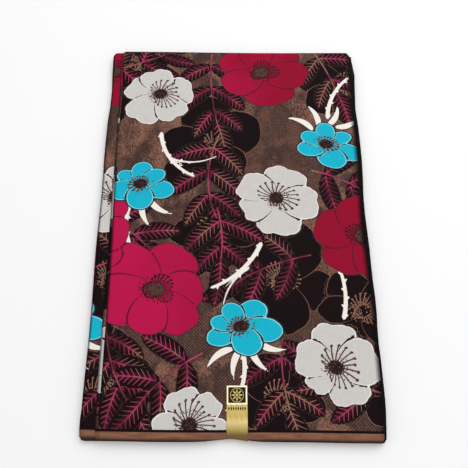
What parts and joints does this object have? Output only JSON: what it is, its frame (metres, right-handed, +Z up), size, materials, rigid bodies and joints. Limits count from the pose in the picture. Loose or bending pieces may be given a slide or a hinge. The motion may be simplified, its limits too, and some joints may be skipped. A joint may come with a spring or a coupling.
{
  "type": "folded wax print fabric",
  "caption": "Length of printed cotton folded for sale: a flat rectangular pile of cloth panels with rounded fold edges, plain selvedges and a foil label band over one edge.",
  "frame": {"origin": "on the surface the pile lies on, under the middle of the pile", "axes": "+Y from the selvedges to the mid-width fold, +X across the panels, +Z up through the layers"},
  "size_m": [0.3945, 0.597, 0.0167],
  "materials": {
    "printed_cotton": "waxed cotton print, brown ground with black, white, magenta and turquoise flowers, slight sheen",
    "gold_foil": "pale gold metallic foil on paper, satin"
  },
  "bodies": {
    "root": {"folded_stack": "printed_cotton", "lower_panel": "printed_cotton", "middle_panel": "printed_cotton", "top_panel": "printed_cotton", "label": "gold_foil"}
  },
  "joints": []
}
